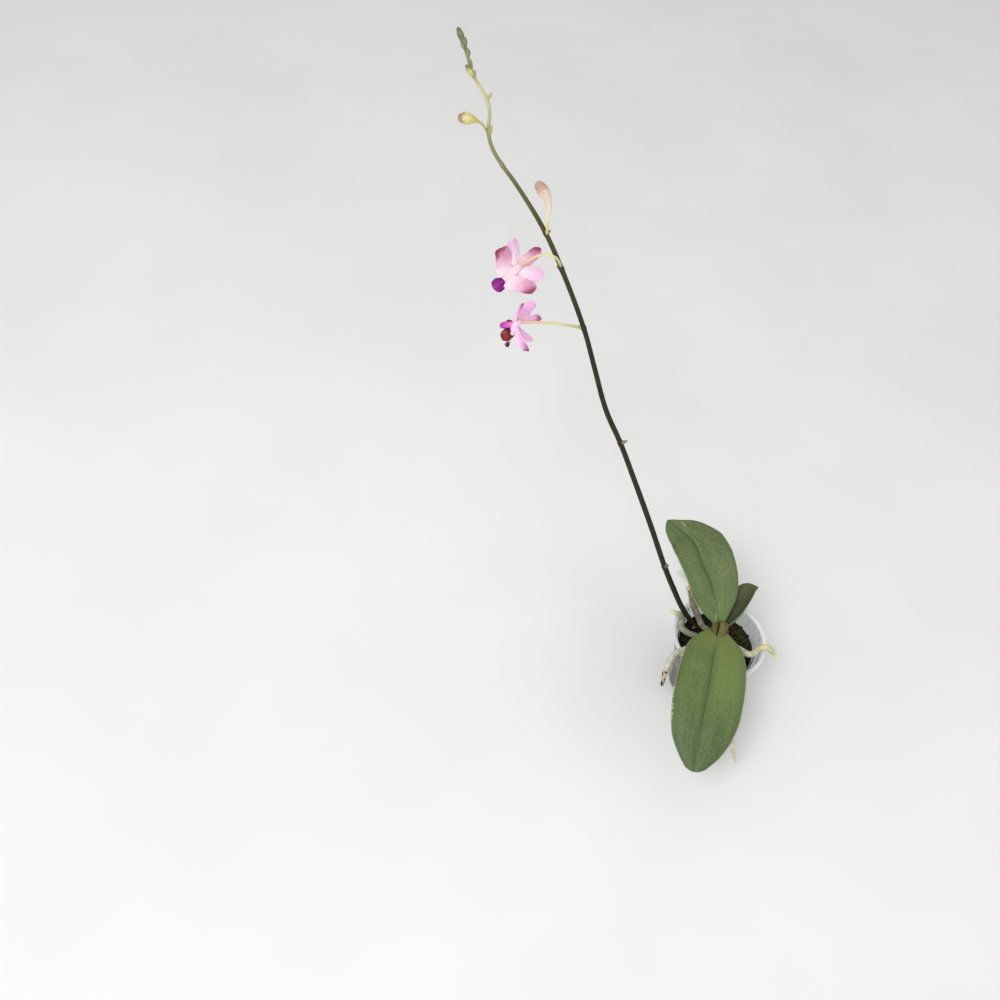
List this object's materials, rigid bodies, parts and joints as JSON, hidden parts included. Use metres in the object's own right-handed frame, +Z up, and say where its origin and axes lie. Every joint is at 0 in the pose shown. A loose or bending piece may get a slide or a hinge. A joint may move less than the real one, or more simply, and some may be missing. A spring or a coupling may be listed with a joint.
{
  "type": "potted phalaenopsis pulcherrima",
  "caption": "Small moth orchid in a clear round nursery pot, with strap-shaped leaves, silvery aerial roots, a blank label and one long leaning flower spike of pink flowers and buds.",
  "frame": {"origin": "centre of the pot's flat underside", "axes": "+Z up along the pot's axis, -Z out of the underside, -Y towards the front leaf, the flower spike leans to -X and +Y"},
  "size_m": [0.2446, 0.2154, 0.37],
  "materials": {
    "clear_pot": "clear, glossy, thin moulding",
    "bark": "damp, rough, dark bark chips and fines",
    "dry_sheath": "dry papery sheaths, matte",
    "leaf": "thick fleshy leaf, satin",
    "root": "spongy silvery skin, matte",
    "spike": "green stalk, satin",
    "pedicel": "fleshy stalk, satin",
    "tepal": "soft petal, satin",
    "lip": "fleshy petal, satin",
    "column": "waxy, satin",
    "bud": "closed tepals, satin",
    "label": "thin sheet, blank"
  },
  "bodies": {
    "root": {"pot": "clear_pot", "growing_medium": "bark", "stem": "dry_sheath", "leaf_front": "leaf", "leaf_back": "leaf", "leaf_side": "leaf", "root_left_curl": "root", "root_left_rim": "root", "root_right_rim": "root", "root_front": "root", "root_back": "root", "flower_spike": "spike", "flower_upper_tepals": "tepal", "flower_upper_pedicel": "pedicel", "flower_upper_lip": "lip", "flower_upper_column": "column", "flower_lower_tepals": "tepal", "flower_lower_pedicel": "pedicel", "flower_lower_lip": "lip", "flower_lower_column": "column", "bud_upper": "bud", "bud_left": "bud", "bud_small": "bud", "label": "label"}
  },
  "joints": []
}
